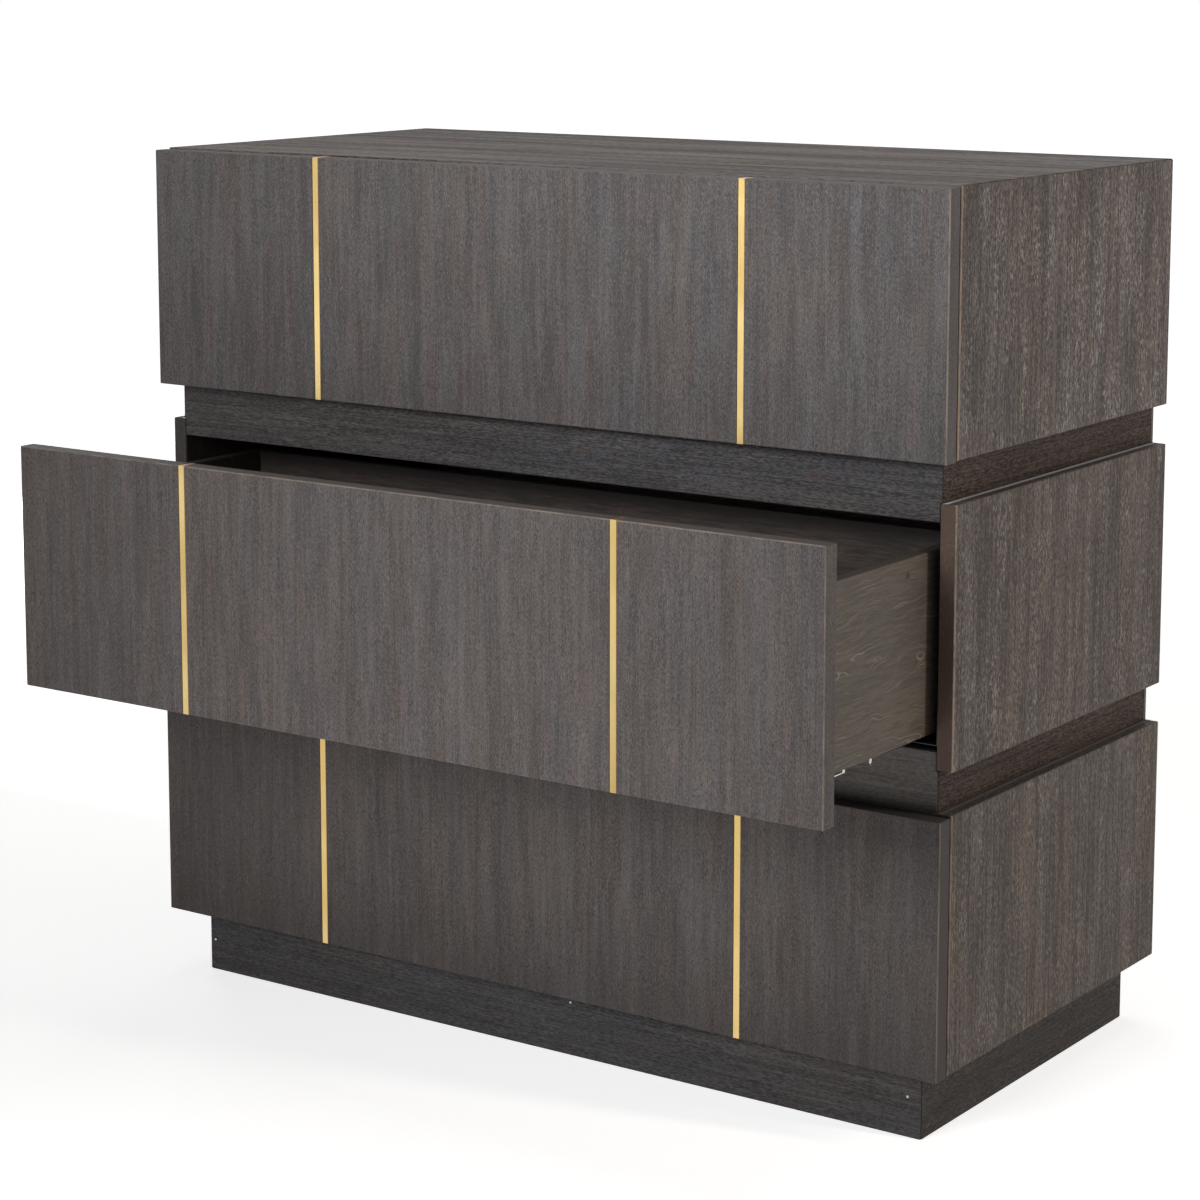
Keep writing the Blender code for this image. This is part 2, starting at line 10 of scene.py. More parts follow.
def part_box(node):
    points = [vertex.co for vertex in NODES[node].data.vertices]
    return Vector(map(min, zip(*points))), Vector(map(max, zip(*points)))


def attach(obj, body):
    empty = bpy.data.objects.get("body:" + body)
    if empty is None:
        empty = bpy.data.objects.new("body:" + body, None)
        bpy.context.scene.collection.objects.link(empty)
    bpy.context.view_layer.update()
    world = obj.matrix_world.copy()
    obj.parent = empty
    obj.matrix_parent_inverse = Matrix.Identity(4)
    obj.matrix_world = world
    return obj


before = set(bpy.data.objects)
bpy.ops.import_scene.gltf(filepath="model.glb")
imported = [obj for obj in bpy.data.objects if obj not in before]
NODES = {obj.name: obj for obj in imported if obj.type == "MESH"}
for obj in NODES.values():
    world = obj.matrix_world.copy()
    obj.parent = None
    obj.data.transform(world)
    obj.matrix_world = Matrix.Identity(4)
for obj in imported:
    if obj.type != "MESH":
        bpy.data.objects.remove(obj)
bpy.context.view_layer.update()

TIERS = ("lower", "middle", "upper")
SIDES = ("left", "right")
MM = 0.001
ORIGIN = (0.0, 0.0, 0.0)

# Which way along X the middle of the chest lies, seen from each side
INWARD = {"left": 1.0, "right": -1.0}

# Colours are linear RGB
WHITE = (1.0, 1.0, 1.0)
FRONT_DARK = (0.056, 0.051, 0.050)
FRONT_MID = (0.150, 0.139, 0.136)
FRONT_FLECK = (0.250, 0.238, 0.230)
PANEL_DARK = (0.036, 0.027, 0.023)
PANEL_MID = (0.126, 0.100, 0.090)
PANEL_FLECK = (0.350, 0.325, 0.305)
TOP_DARK = (0.030, 0.024, 0.021)
TOP_MID = (0.138, 0.118, 0.107)
BAND_DARK = (0.024, 0.022, 0.022)
BAND_MID = (0.090, 0.083, 0.083)
BAND_FLECK = (0.200, 0.188, 0.184)
# The lower band's front rail, lighter than the band: painted light
LIT_LOWER_RAIL_DARK = (0.056, 0.051, 0.049)
LIT_LOWER_RAIL_MID = (0.135, 0.124, 0.118)
SIDE_BAND_DARK = (0.012, 0.0075, 0.0055)
SIDE_BAND_MID = (0.060, 0.039, 0.029)
SIDE_BAND_FLECK = (0.180, 0.140, 0.115)
PLINTH_DARK = (0.028, 0.026, 0.026)
PLINTH_MID = (0.104, 0.097, 0.097)
PLINTH_SIDE_DARK = (0.012, 0.010, 0.009)
PLINTH_SIDE_MID = (0.044, 0.037, 0.033)
RUST = (0.095, 0.052, 0.030)
COOL_TINT = (0.970, 1.000, 1.045)
WARM_TINT = (1.020, 1.000, 0.965)
RED_TINT = (1.025, 0.992, 0.972)
FRONT_ARRIS = (0.300, 0.235, 0.190)
PANEL_ARRIS = (0.440, 0.345, 0.270)
# A dark stain on the side panels' front edges, darker on the left ones by painted shade
EDGE_STAIN_AND_SHADE = {"left": (0.044, 0.037, 0.037), "right": (0.095, 0.061, 0.045)}
# Painted shade on the inner faces of side panels and box sides, on the box sides' upper edges
# and on the ends of the closed drawer fronts
PAINTED_SHADE_TONE = (0.034, 0.027, 0.023)
# A painted highlight on the upper edge of the side panels under each band
LEDGE_HIGHLIGHT = (0.720, 0.740, 0.760)
BOX_BASE = (0.116, 0.098, 0.082)
BOX_SHADE = (0.075, 0.061, 0.050)
BOX_LINE = (0.250, 0.215, 0.170)
KNOT = (0.030, 0.022, 0.016)
BACK_BASE = (0.080, 0.065, 0.058)
BACK_SHADE = (0.047, 0.037, 0.033)
# Painted shade near the top of each box back
RIM_PAINTED_SHADE = (0.014, 0.012, 0.011)
SHEET_BASE = (0.100, 0.080, 0.064)
SHEET_SHADE = (0.066, 0.051, 0.040)
PLY_COOL_TINT = (0.98, 1.0, 0.99)
PLY_WARM_TINT = (1.03, 0.995, 0.96)
PINE_BASE = (0.430, 0.300, 0.170)
PINE_LATE = (0.300, 0.180, 0.085)
BRASS_BASE = (0.850, 0.650, 0.290)
BRASS_DULL = (0.640, 0.455, 0.175)
BRASS_EDGE = (0.400, 0.200, 0.060)
STEEL_DARK = (0.060, 0.061, 0.064)
STEEL_FILM = (0.090, 0.090, 0.092)
ZINC_BASE = (0.560, 0.560, 0.550)
ZINC_FILM = (0.420, 0.425, 0.430)
FLOOR_GREY = (0.80, 0.80, 0.80)
FLOOR_LIGHT = (0.82, 0.82, 0.82)

# Noises, each as scale on the three axes, place, detail and roughness
SWAY_NOISE = ((9.0, 9.0, 5.0), ORIGIN, 2.0, 0.5)
FIBRE_NOISE = ((800.0, 800.0, 200.0), ORIGIN, 2.0, 0.6)
THREAD_NOISE = ((520.0, 520.0, 5.0), (2.0, 3.0, 1.0), 2.0, 0.6)
STROKE_NOISE = ((640.0, 640.0, 130.0), (3.1, 5.7, 1.3), 2.0, 0.6)
PIT_NOISE = ((760.0, 760.0, 230.0), (9.4, 2.2, 6.1), 1.0, 0.5)
COLUMN_NOISE = ((64.0, 64.0, 4.5), (7.0, 2.0, 4.0), 3.0, 0.6)
LEAF_NOISE = ((24.0, 24.0, 1.6), (1.0, 9.0, 2.0), 2.0, 0.5)
PATCH_NOISE = ((50.0, 50.0, 16.0), (4.0, 4.0, 8.0), 3.0, 0.6)
TINT_NOISE = ((22.0, 22.0, 3.6), (5.0, 8.0, 3.0), 3.0, 0.55)
RUST_NOISE = ((70.0, 70.0, 38.0), (2.0, 6.0, 5.0), 3.0, 0.6)
RUBBED_NOISE = ((60.0, 60.0, 30.0), ORIGIN, 3.0, 0.65)
DRIFT_NOISE = ((9.0, 9.0, 3.4), ORIGIN, 4.0, 0.55)
BROKEN_NOISE = ((38.0, 38.0, 20.0), (3.0, 1.0, 5.0), 3.0, 0.6)
PLY_FIBRE_NOISE = ((420.0, 420.0, 40.0), ORIGIN, 3.0, 0.65)
PLY_CLOUD_NOISE = ((22.0, 22.0, 9.0), (8.0, 3.0, 1.0), 3.0, 0.6)
PINE_FIBRE_NOISE = ((500.0, 500.0, 18.0), ORIGIN, 3.0, 0.6)

# Brush lines on metal, which bring their own scale, and detail and roughness of its film
BRUSH_NOISE = (ORIGIN, 2.0, 0.6)
FILM_NOISE = (3.0, 0.6)

# How a value is spread: its low and high end, and where given what it turns into there
PIT_RANGE = (0.54, 0.68)
STROKE_RANGE = (0.52, 0.62)
STROKES_BY_COLUMN = (0.42, 0.60, 0.40, 1.0)
STROKES_BY_PATCH = (0.38, 0.60, 0.60, 1.0)
TINT_RANGE = (0.38, 0.62)
RUST_RANGE = (0.60, 0.72)
VENEER_ROUGHNESS = (0.3, 0.7, 0.70, 0.58)
ARRIS_RANGE = (1.0, 0.5)
RUBBED_RANGE = (0.36, 0.58, 0.45, 1.0)
BROKEN_RANGE = (0.41, 0.57)
PLY_RANGE = (0.38, 0.62)
PLY_TINT_RANGE = (0.42, 0.58)
KNOT_RANGE = (0.0042, 0.0016, 0.0, 0.85)
RIM_RANGE = (0.002, 0.024, 0.86, 0.0)
PINE_RANGE = (0.35, 0.85)
FILM_RANGE = (0.35, 0.65)
BRUSH_RANGE = (0.3, 0.7)
FLOOR_LIFT = (1.0, 3.5, 0.70, 1.0)

# How strongly the noises of the veneer show, in its colour and in its relief
SWAY_AMOUNT = 0.008
FIBRE_AMOUNT = 3.6
THREAD_AMOUNT = 2.0
COLUMN_AMOUNT = 1.8
LEAF_AMOUNT = 1.2
PATCH_AMOUNT = 0.5
PIT_AMOUNT = 0.60
FIBRE_HEIGHT = 0.7
PIT_HEIGHT = 0.4

# Growth lines of plywood: lines to a metre, how far they wander, their width, their strength
GROWTH_LINES = ((34.0, 6.0, 0.020, 1.0), (83.0, 11.0, 0.034, 0.7), (140.0, 17.0, 0.045, 0.4))
PLY_FIBRE_PART = 0.7
PLY_CLOUD_PART = 0.3

# Rings of pine, and how they are drawn out along the board
PINE_RINGS = {"Scale": 60.0, "Distortion": 5.0, "Detail": 2.0, "Detail Scale": 1.2}
PINE_STRETCH = (1.0, 1.0, 0.06)
PINE_RING_PART = 0.65
PINE_FIBRE_PART = 0.35

# Reliefs: bump strength and distance in metres. Each veneer has its own strength
VENEER_RELIEF = 0.0004
PLY_RELIEF = (0.12, 0.0003)
PINE_RELIEF = (0.15, 0.0003)
METAL_RELIEF = (0.08, 0.0001)

# Grain turned from Z to another axis, in radians
GRAIN_TURN = {
    "Z": ORIGIN,
    "X": (0.0, math.pi / 2, 0.0),
    "Y": (math.pi / 2, 0.0, 0.0),
}

# How far a normal has to lean along an axis for its face to count as looking that way
FACING = 0.75
FACING_INWARD = 0.5
FACING_FORWARD = -0.9

# How much of a stain or of painted shade such faces take
EDGE_STAIN_AND_SHADE_AMOUNT = 0.85
PANEL_INSIDE_AMOUNT = 0.85
BOX_INSIDE_AMOUNT = 0.8

# An edge plane this far away never shows as a worn edge
FAR = 9.0
FRONT_ARRIS_WIDTH = 0.0014
PANEL_ARRIS_WIDTH = 0.0026

# The painted highlight beside each side rail of the bands: how far out it lies, and how
# far from its middle it begins and is full
LEDGE_LINE_X = 0.4450
LEDGE_LINE_RANGE = (0.0030, 0.0018)

# Brass strips: how far out their middle lies, how far from it the dark edge begins and is
# full, and how strong that edge is
INLAY_X = 0.2465
INLAY_EDGE_RANGE = (0.0029, 0.0029 + 0.0004)
INLAY_EDGE_AMOUNT = 0.65

# The knot in each box side lies this far in from its rear end and top, in mm
KNOT_FROM_REAR = 143
KNOT_FROM_TOP = 15

# Round heads and pins: radius and height, in mm
BRAD_HEAD = (1.3, 0.3)
BACK_SCREW_HEAD = (3.0, 0.7)
RUNNER_SCREW_HEAD = (3.6, 1.3)
STOP_PIN = (1.3, 6.4)
HEAD_SIDES = 16

# How a head's rim is eased, in parts of its height, and a small plate's edges, in mm
RIM_LEVEL = 0.9
RIM_EASE = 0.45
PLATE_EASE = 0.3

# Where the hardware sits, in mm: brads across and up, back screws across and up with the
# inset of the top and bottom rows, and runner screws back, down and in from the wall
BRAD_PLACES = ((-420, 32.4), (38.7, 53.3), (412.7, 38.2))
BACK_SCREW_COLUMNS = (-425, -213, 0, 213, 425)
BACK_SCREW_ROWS = (190, 430, 500, 745)
BACK_SCREW_INSET = 12
RUNNER_SCREWS_BACK = (28, 150, 262)
RUNNER_SCREWS_DOWN = 9
RUNNER_SHEET = 1.2

# The clip's bright tab and its leg under a box side, in mm: from and to behind the drawer
# front, from and to above the box side's bottom edge, and both from and to in from its face
CLIP_TAB = ((38, 60), (-3.4, -2.3))
CLIP_LEG = ((56, 60), (-2.8, -0.1))
CLIP_ACROSS = (0.6, 3.2)
PIN_BACK = 104.5
PIN_IN = 2.0
PIN_DOWN = 0.1

WORLD_STRENGTH = 0.07
FLOOR_SIZE = 14.0
FLOOR_SPECKLE = 3.0
FLOOR_ROUGHNESS = 0.9
FLOOR_GLOSS = 0.1

# Lamps: name, place, target, width, height, power, colour, spread in degrees, and whether
# glossy surfaces show them
LAMPS = (
    ("front_softbox", (-0.08, -2.4, 1.5), (0.24, -0.2, 0.95), 0.9, 1.1, 6.7,
     (0.98, 0.98, 1.0), 62.0, True),
    ("floor_bounce", (0.04, -1.35, 0.03), (0.04, -1.35, 1.0), 0.8, 1.9, 9.0,
     (0.98, 0.98, 1.0), 180.0, False),
    ("side_softbox", (2.85, 0.34, 1.3), (0.457, -0.1, 0.5), 0.22, 1.5, 30.0,
     (1.0, 0.93, 0.86), 180.0, True),
    ("top_softbox", (0.0, 0.1, 3.0), (0.0, 0.0, 0.5), 2.0, 1.4, 17.5,
     (1.0, 0.98, 0.95), 180.0, True),
    ("back_softbox", (-2.6, 1.9, 0.45), (0.0, 0.0, 0.45), 1.2, 0.8, 24.0,
     (1.0, 0.98, 0.96), 180.0, True),
)

# The camera's sensor and lens in mm, its shift, and how far it looks down and is turned
# from azimuth 0, in degrees
SENSOR_WIDTH = 36.0
LENS = 94.790
SHIFT = -0.15
CAMERA_PLACE = (1.7513, -2.5929, 1.0639)
CAMERA_DOWN = 8.481
CAMERA_TURN = 34.967


class Tree:
    """A short way to write shader nodes and their links."""

    def __init__(self, node_tree):
        self.tree = node_tree

    def add(self, kind, inputs=None, **settings):
        """A new node. Inputs go by name or number, as values or as links."""
        node = self.tree.nodes.new(kind)
        for key, value in settings.items():
            setattr(node, key, value)
        for key, value in (inputs or {}).items():
            self.put(node.inputs[key], value)
        return node

    def put(self, socket, value):
        if isinstance(value, bpy.types.NodeSocket):
            self.tree.links.new(value, socket)
        elif isinstance(value, tuple) and len(value) == 3 and socket.type == "RGBA":
            socket.default_value = (*value, 1.0)
        else:
            socket.default_value = value

    def noise(self, vector, scale, detail=2.0, roughness=0.5):
        node = self.add("ShaderNodeTexNoise", {
            "Vector": vector, "Scale": scale, "Detail": detail, "Roughness": roughness})
        return node.outputs["Fac"]

    def stretch(self, vector, scale, place=ORIGIN):
        node = self.add("ShaderNodeMapping", {
            "Vector": vector, "Location": place, "Scale": scale})
        return node.outputs["Vector"]

    def streak(self, vector, scale, place, detail, roughness):
        """Noise drawn out by a scale for each axis."""
        return self.noise(self.stretch(vector, scale, place), 1.0, detail, roughness)

    def math(self, operation, first, second=0.0):
        node = self.add("ShaderNodeMath", {0: first, 1: second}, operation=operation)
        return node.outputs["Value"]

    def swing(self, value, amount):
        """How far the value is from one half, times an amount."""
        return self.math("MULTIPLY", self.math("SUBTRACT", value, 0.5), amount)

    def weigh(self, *pairs):
        """The sum of values, each times its weight."""
        total = None
        for value, weight in pairs:
            part = self.math("MULTIPLY", value, weight)
            total = part if total is None else self.math("ADD", total, part)
        return total

    def spread(self, value, low, high, to_low=0.0, to_high=1.0):
        """The value between its low and high end, eased to go from to_low to to_high."""
        node = self.add("ShaderNodeMapRange", {
            "Value": value, "From Min": low, "From Max": high,
            "To Min": to_low, "To Max": to_high}, interpolation_type="SMOOTHSTEP")
        return node.outputs["Result"]

    def mix(self, kind, factor, first, second, mode):
        """Two colours (kind RGBA) or two vectors (kind VECTOR) mixed."""
        node = self.add("ShaderNodeMix", data_type=kind, blend_type=mode)
        self.put(node.inputs["Factor"], factor)
        ends = [socket for socket in node.inputs
                if socket.type == kind and socket.name in ("A", "B")]
        self.put(ends[0], first)
        self.put(ends[1], second)
        return [socket for socket in node.outputs if socket.type == kind][0]

    def blend(self, factor, first, second, mode="MIX"):
        return self.mix("RGBA", factor, first, second, mode)

    def lay(self, colour, tone, mask, amount):
        """The colour with a tone laid over it, by a mask times an amount."""
        return self.blend(self.math("MULTIPLY", mask, amount), colour, tone)

    def axes(self, vector):
        node = self.add("ShaderNodeSeparateXYZ", {"Vector": vector})
        return [node.outputs[axis] for axis in "XYZ"]


class Surface(Tree):
    """The shader nodes of a new material."""

    def __init__(self, name):
        self.material = bpy.data.materials.new(name)
        self.material.use_nodes = True
        super().__init__(self.material.node_tree)
        self.tree.nodes.clear()
        self.shader = self.add("ShaderNodeBsdfPrincipled")
        self.add("ShaderNodeOutputMaterial", {"Surface": self.shader.outputs["BSDF"]})
        coordinates = self.add("ShaderNodeTexCoord")
        self.place = coordinates.outputs["Object"]
        self.normal = coordinates.outputs["Normal"]

    def lies(self, axis):
        """Where a point lies along an axis."""
        return self.axes(self.place)["XYZ".index(axis)]

    def looks(self, axis):
        """How far a face looks along an axis, from -1 to 1."""
        return self.axes(self.normal)["XYZ".index(axis)]

    def faces(self, axis):
        """1 on faces that look along an axis, either way."""
        return self.math("GREATER_THAN", self.math("ABSOLUTE", self.looks(axis)), FACING)

    def faces_up(self):
        return self.math("GREATER_THAN", self.looks("Z"), FACING)

    def faces_forward(self):
        return self.math("LESS_THAN", self.looks("Y"), FACING_FORWARD)

    def faces_inward(self, inward):
        """1 on faces that look along X times inward."""
        return self.math("GREATER_THAN", self.math("MULTIPLY", self.looks("X"), inward),
                         FACING_INWARD)

    def from_line(self, out):
        """The distance along X from a line this far out, left or right of the middle."""
        across = self.math("ABSOLUTE", self.lies("X"))
        return self.math("ABSOLUTE", self.math("SUBTRACT", across, out))

    def dress(self, **sockets):
        """Sets the shader's sockets. Each name has _ for a space."""
        for name, value in sockets.items():
            self.put(self.shader.inputs[name.replace("_", " ")], value)

    def raise_by(self, height, strength, distance):
        raised = self.add("ShaderNodeBump", {
            "Height": height, "Strength": strength, "Distance": distance})
        self.dress(Normal=raised.outputs["Normal"])


def new_group(name, inputs, outputs):
    """An empty node group, what it is given and what it puts out, each by name."""
    group = bpy.data.node_groups.new(name, "ShaderNodeTree")
    for direction, sockets in (("INPUT", inputs), ("OUTPUT", outputs)):
        for socket_name, kind in sockets.items():
            group.interface.new_socket(
                socket_name, in_out=direction, socket_type=f"NodeSocket{kind}")
    t = Tree(group)
    return group, t, t.add("NodeGroupInput").outputs, t.add("NodeGroupOutput").inputs


def make_veneer_group():
    """Open-pored veneer, brushed and filled: fibres run along the vector's Z."""
    group, t, given, result = new_group(
        "brushed_veneer",
        {"Vector": "Vector", "Dark": "Color", "Mid": "Color", "Fleck": "Color",
         "Fine": "Float", "Threads": "Float", "Bands": "Float", "Fleck Amount": "Float",
         "Warm": "Color", "Rust Amount": "Float"},
        {"Color": "Color", "Roughness": "Float", "Height": "Float"})
    vector = given["Vector"]

    sway = t.swing(t.streak(vector, *SWAY_NOISE), SWAY_AMOUNT)
    shove = t.add("ShaderNodeCombineXYZ", {"X": sway, "Y": sway})
    swayed = t.add("ShaderNodeVectorMath", {0: vector, 1: shove.outputs["Vector"]},
                   operation="ADD")
    grain = swayed.outputs["Vector"]

    fibre = t.streak(grain, *FIBRE_NOISE)
    thread = t.streak(vector, *THREAD_NOISE)
    stroke = t.streak(grain, *STROKE_NOISE)
    pit = t.streak(grain, *PIT_NOISE)
    column = t.streak(grain, *COLUMN_NOISE)
    leaf = t.streak(grain, *LEAF_NOISE)
    patch = t.streak(vector, *PATCH_NOISE)
    tint = t.streak(grain, *TINT_NOISE)

    bands = t.math("ADD", t.swing(column, COLUMN_AMOUNT), t.swing(leaf, LEAF_AMOUNT))
    lit = t.weigh((t.swing(fibre, FIBRE_AMOUNT), given["Fine"]),
                  (t.swing(thread, THREAD_AMOUNT), given["Threads"]),
                  (bands, given["Bands"]))
    lit = t.math("ADD", lit, t.swing(patch, PATCH_AMOUNT))
    ground = t.blend(t.math("ADD", lit, 0.5), given["Dark"], given["Mid"])

    holes = t.math("MULTIPLY", t.spread(pit, *PIT_RANGE), given["Fine"])
    ground = t.lay(ground, given["Dark"], holes, PIT_AMOUNT)

    places = t.math("MULTIPLY", t.spread(column, *STROKES_BY_COLUMN),
                    t.spread(patch, *STROKES_BY_PATCH))
    pale = t.math("MULTIPLY", t.spread(stroke, *STROKE_RANGE), places)
    colour = t.lay(ground, given["Fleck"], pale, given["Fleck Amount"])

    hue = t.blend(t.spread(tint, *TINT_RANGE), COOL_TINT, given["Warm"])
    colour = t.blend(1.0, colour, hue, "MULTIPLY")
    spots = t.spread(t.streak(vector, *RUST_NOISE), *RUST_RANGE)
    colour = t.lay(colour, RUST, spots, given["Rust Amount"])

    t.put(result["Color"], colour)
    t.put(result["Roughness"], t.spread(fibre, *VENEER_ROUGHNESS))
    t.put(result["Height"], t.math("SUBTRACT", t.math("MULTIPLY", fibre, FIBRE_HEIGHT),
                                   t.math("MULTIPLY", holes, PIT_HEIGHT)))
    return group


def make_arris_group():
    """A mask of a board's front arrises, where the stain is rubbed through.

    Low and High are the board's corners. A corner value put far away keeps its edges.
    """
    group, t, given, result = new_group(
        "rubbed_arris",
        {"Low": "Vector", "High": "Vector", "Width": "Float", "Amount": "Float",
         "Top Amount": "Float"},
        {"Mask": "Float"})
    place = t.add("ShaderNodeTexCoord").outputs["Object"]
    here, low, high = (t.axes(vector) for vector in (place, given["Low"], given["High"]))
    across, deep = [
        t.math("MINIMUM", t.math("SUBTRACT", here[axis], low[axis]),
               t.math("SUBTRACT", high[axis], here[axis]))
        for axis in (0, 1)]
    below = t.math("SUBTRACT", high[2], here[2])
    lines = []
    for inward, amount in ((across, "Amount"), (below, "Top Amount")):
        near = t.math("DIVIDE", t.math("MAXIMUM", inward, deep), given["Width"])
        lines.append(t.math("MULTIPLY", t.spread(near, *ARRIS_RANGE), given[amount]))
    rubbed = t.spread(t.streak(place, *RUBBED_NOISE), *RUBBED_RANGE)
    t.put(result["Mask"], t.math("MULTIPLY", t.math("MAXIMUM", *lines), rubbed))
    return group


def make_plywood_group():
    """Rotary-cut face veneer: a calm ground with long pale lines, along the vector's Z."""
    group, t, given, result = new_group(
        "stained_plywood",
        {"Vector": "Vector", "Base": "Color", "Shade": "Color", "Line Amount": "Float"},
        {"Color": "Color", "Height": "Float"})
    vector = given["Vector"]
    across = t.axes(vector)
    drift = t.streak(vector, *DRIFT_NOISE)
    line = 0.0
    for count, wander, width, strength in GROWTH_LINES:
        height = t.weigh((across[0], count), (across[1], count), (drift, wander))
        ring = t.math("ABSOLUTE", t.math("SUBTRACT", t.math("FRACT", height), 0.5))
        line = t.math("MAXIMUM", line,
                      t.math("MULTIPLY", t.spread(ring, width, 0.0), strength))
    line = t.math("MULTIPLY", line, t.spread(t.streak(vector, *BROKEN_NOISE), *BROKEN_RANGE))
    fine = t.streak(vector, *PLY_FIBRE_NOISE)
    cloud = t.streak(vector, *PLY_CLOUD_NOISE)
    tone = t.weigh((fine, PLY_FIBRE_PART), (cloud, PLY_CLOUD_PART))
    ground = t.blend(t.spread(tone, *PLY_RANGE), given["Shade"], given["Base"])
    hue = t.blend(t.spread(cloud, *PLY_TINT_RANGE), PLY_COOL_TINT, PLY_WARM_TINT)
    ground = t.blend(1.0, ground, hue, "MULTIPLY")
    t.put(result["Color"], t.lay(ground, BOX_LINE, line, given["Line Amount"]))
    t.put(result["Height"], fine)
    return group


VENEER_GROUP = make_veneer_group()
ARRIS_GROUP = make_arris_group()
PLYWOOD_GROUP = make_plywood_group()


def grain_vector(t, axis, offset, fineness=(1.0, 1.0)):
    """Object coordinates turned so that the grain runs along Z.

    fineness is how close the figure lies across the grain and along it.
    """
    across, along = fineness
    turned = t.add("ShaderNodeMapping", {
        "Vector": t.place, "Location": offset, "Rotation": GRAIN_TURN[axis]})
    return t.stretch(turned.outputs["Vector"], (across, across, along))


def veneer_finish(name, axis, offset, dark, mid, fleck, fineness, fine, threads, bands,
                  flecks, bump, warm=WARM_TINT, rust=0.0, gloss=0.25, end_axis=None,
                  end_shade=0.0, side_painted_shade=0.0, inward=None, edge_stain_and_shade=None, ledge=0.0,
                  worn=None, rubbed=None):
    """Brushed veneer with its grain along an axis.

    Faces that look up or down take end_axis instead, as an edge strip is laid, and turn
    darker by end_shade. side_painted_shade is how much painted shade those looking left or
    right take. inward, 1 or -1 along X, is where the inner face looks, which takes painted
    shade.
    edge_stain_and_shade colours the front edge with a stain, darkened further on the left
    side by painted shade. ledge is how strong the painted highlight on the upper edge is.
    worn is what worn_edges gives, and rubbed is the colour that shows there.
    """
    t = Surface(name)
    vector = grain_vector(t, axis, offset, fineness)
    if end_axis:
        vector = t.mix("VECTOR", t.faces("Z"), vector,
                       grain_vector(t, end_axis, offset, fineness), "MIX")
    veneer = t.add("ShaderNodeGroup", {
        "Vector": vector, "Dark": dark, "Mid": mid, "Fleck": fleck, "Fine": fine,
        "Threads": threads, "Bands": bands, "Fleck Amount": flecks, "Warm": warm,
        "Rust Amount": rust}, node_tree=VENEER_GROUP)
    colour = veneer.outputs["Color"]
    if end_shade:
        colour = t.lay(colour, dark, t.faces("Z"), end_shade)
    # Painted shade on faces that look left or right, the ends of a drawer front
    if side_painted_shade:
        colour = t.lay(colour, PAINTED_SHADE_TONE, t.faces("X"), side_painted_shade)
    # Painted shade on the inner face
    if inward:
        colour = t.lay(colour, PAINTED_SHADE_TONE, t.faces_inward(inward), PANEL_INSIDE_AMOUNT)
    # The front edge's stain, with painted shade on the left side's
    if edge_stain_and_shade:
        colour = t.lay(colour, edge_stain_and_shade, t.faces_forward(), EDGE_STAIN_AND_SHADE_AMOUNT)
    # A painted highlight on the upper edge, beside the band's side rail
    if ledge:
        beside = t.spread(t.from_line(LEDGE_LINE_X), *LEDGE_LINE_RANGE, 0.0, ledge)
        colour = t.lay(colour, LEDGE_HIGHLIGHT, t.faces_up(), beside)
    if worn:
        mask = t.add("ShaderNodeGroup", worn, node_tree=ARRIS_GROUP).outputs["Mask"]
        if edge_stain_and_shade:
            mask = t.math("MULTIPLY", mask, t.math("SUBTRACT", 1.0, t.faces_forward()))
        colour = t.blend(mask, colour, rubbed)
    t.dress(Base_Color=colour, Roughness=veneer.outputs["Roughness"],
            Specular_IOR_Level=gloss)
    t.raise_by(veneer.outputs["Height"], bump, VENEER_RELIEF)
    return t.material


def plywood_finish(name, axis, offset, base, shade, lines, knot=None, inward=None, rim=None):
    """Stained plywood, with one small knot where a place is given.

    inward, 1 or -1 along X, is where a board's inner face looks, which takes painted shade,
    as its upper edge does. rim is the height of a board's top edge, below which its faces are
    darkest, by painted shade.
    """
    t = Surface(name)
    face = t.add("ShaderNodeGroup", {
        "Vector": grain_vector(t, axis, offset), "Base": base, "Shade": shade,
        "Line Amount": lines}, node_tree=PLYWOOD_GROUP)
    colour = face.outputs["Color"]
    if knot:
        apart = t.add("ShaderNodeVectorMath", {0: t.place, 1: knot}, operation="DISTANCE")
        colour = t.blend(t.spread(apart.outputs["Value"], *KNOT_RANGE), colour, KNOT)
    if inward:
        inside = t.math("MAXIMUM", t.faces_inward(inward), t.faces_up())
        colour = t.lay(colour, PAINTED_SHADE_TONE, inside, BOX_INSIDE_AMOUNT)
    # Painted shade, darkest just below the board's top edge
    if rim:
        below = t.math("SUBTRACT", rim, t.lies("Z"))
        colour = t.blend(t.spread(below, *RIM_RANGE), colour, RIM_PAINTED_SHADE)
    t.dress(Base_Color=colour, Roughness=0.55, Specular_IOR_Level=0.2)
    t.raise_by(face.outputs["Height"], *PLY_RELIEF)
    return t.material


def pine_finish(name, axis):
    """Bare pine with its growth rings."""
    t = Surface(name)
    vector = grain_vector(t, axis, ORIGIN)
    rings = t.add("ShaderNodeTexWave", {
        "Vector": t.stretch(vector, PINE_STRETCH), **PINE_RINGS},
        wave_type="BANDS", bands_direction="X")
    fibre = t.streak(vector, *PINE_FIBRE_NOISE)
    tone = t.weigh((rings.outputs["Fac"], PINE_RING_PART), (fibre, PINE_FIBRE_PART))
    t.dress(Base_Color=t.blend(t.spread(tone, *PINE_RANGE), PINE_BASE, PINE_LATE),
            Roughness=0.7)
    t.raise_by(fibre, *PINE_RELIEF)
    return t.material


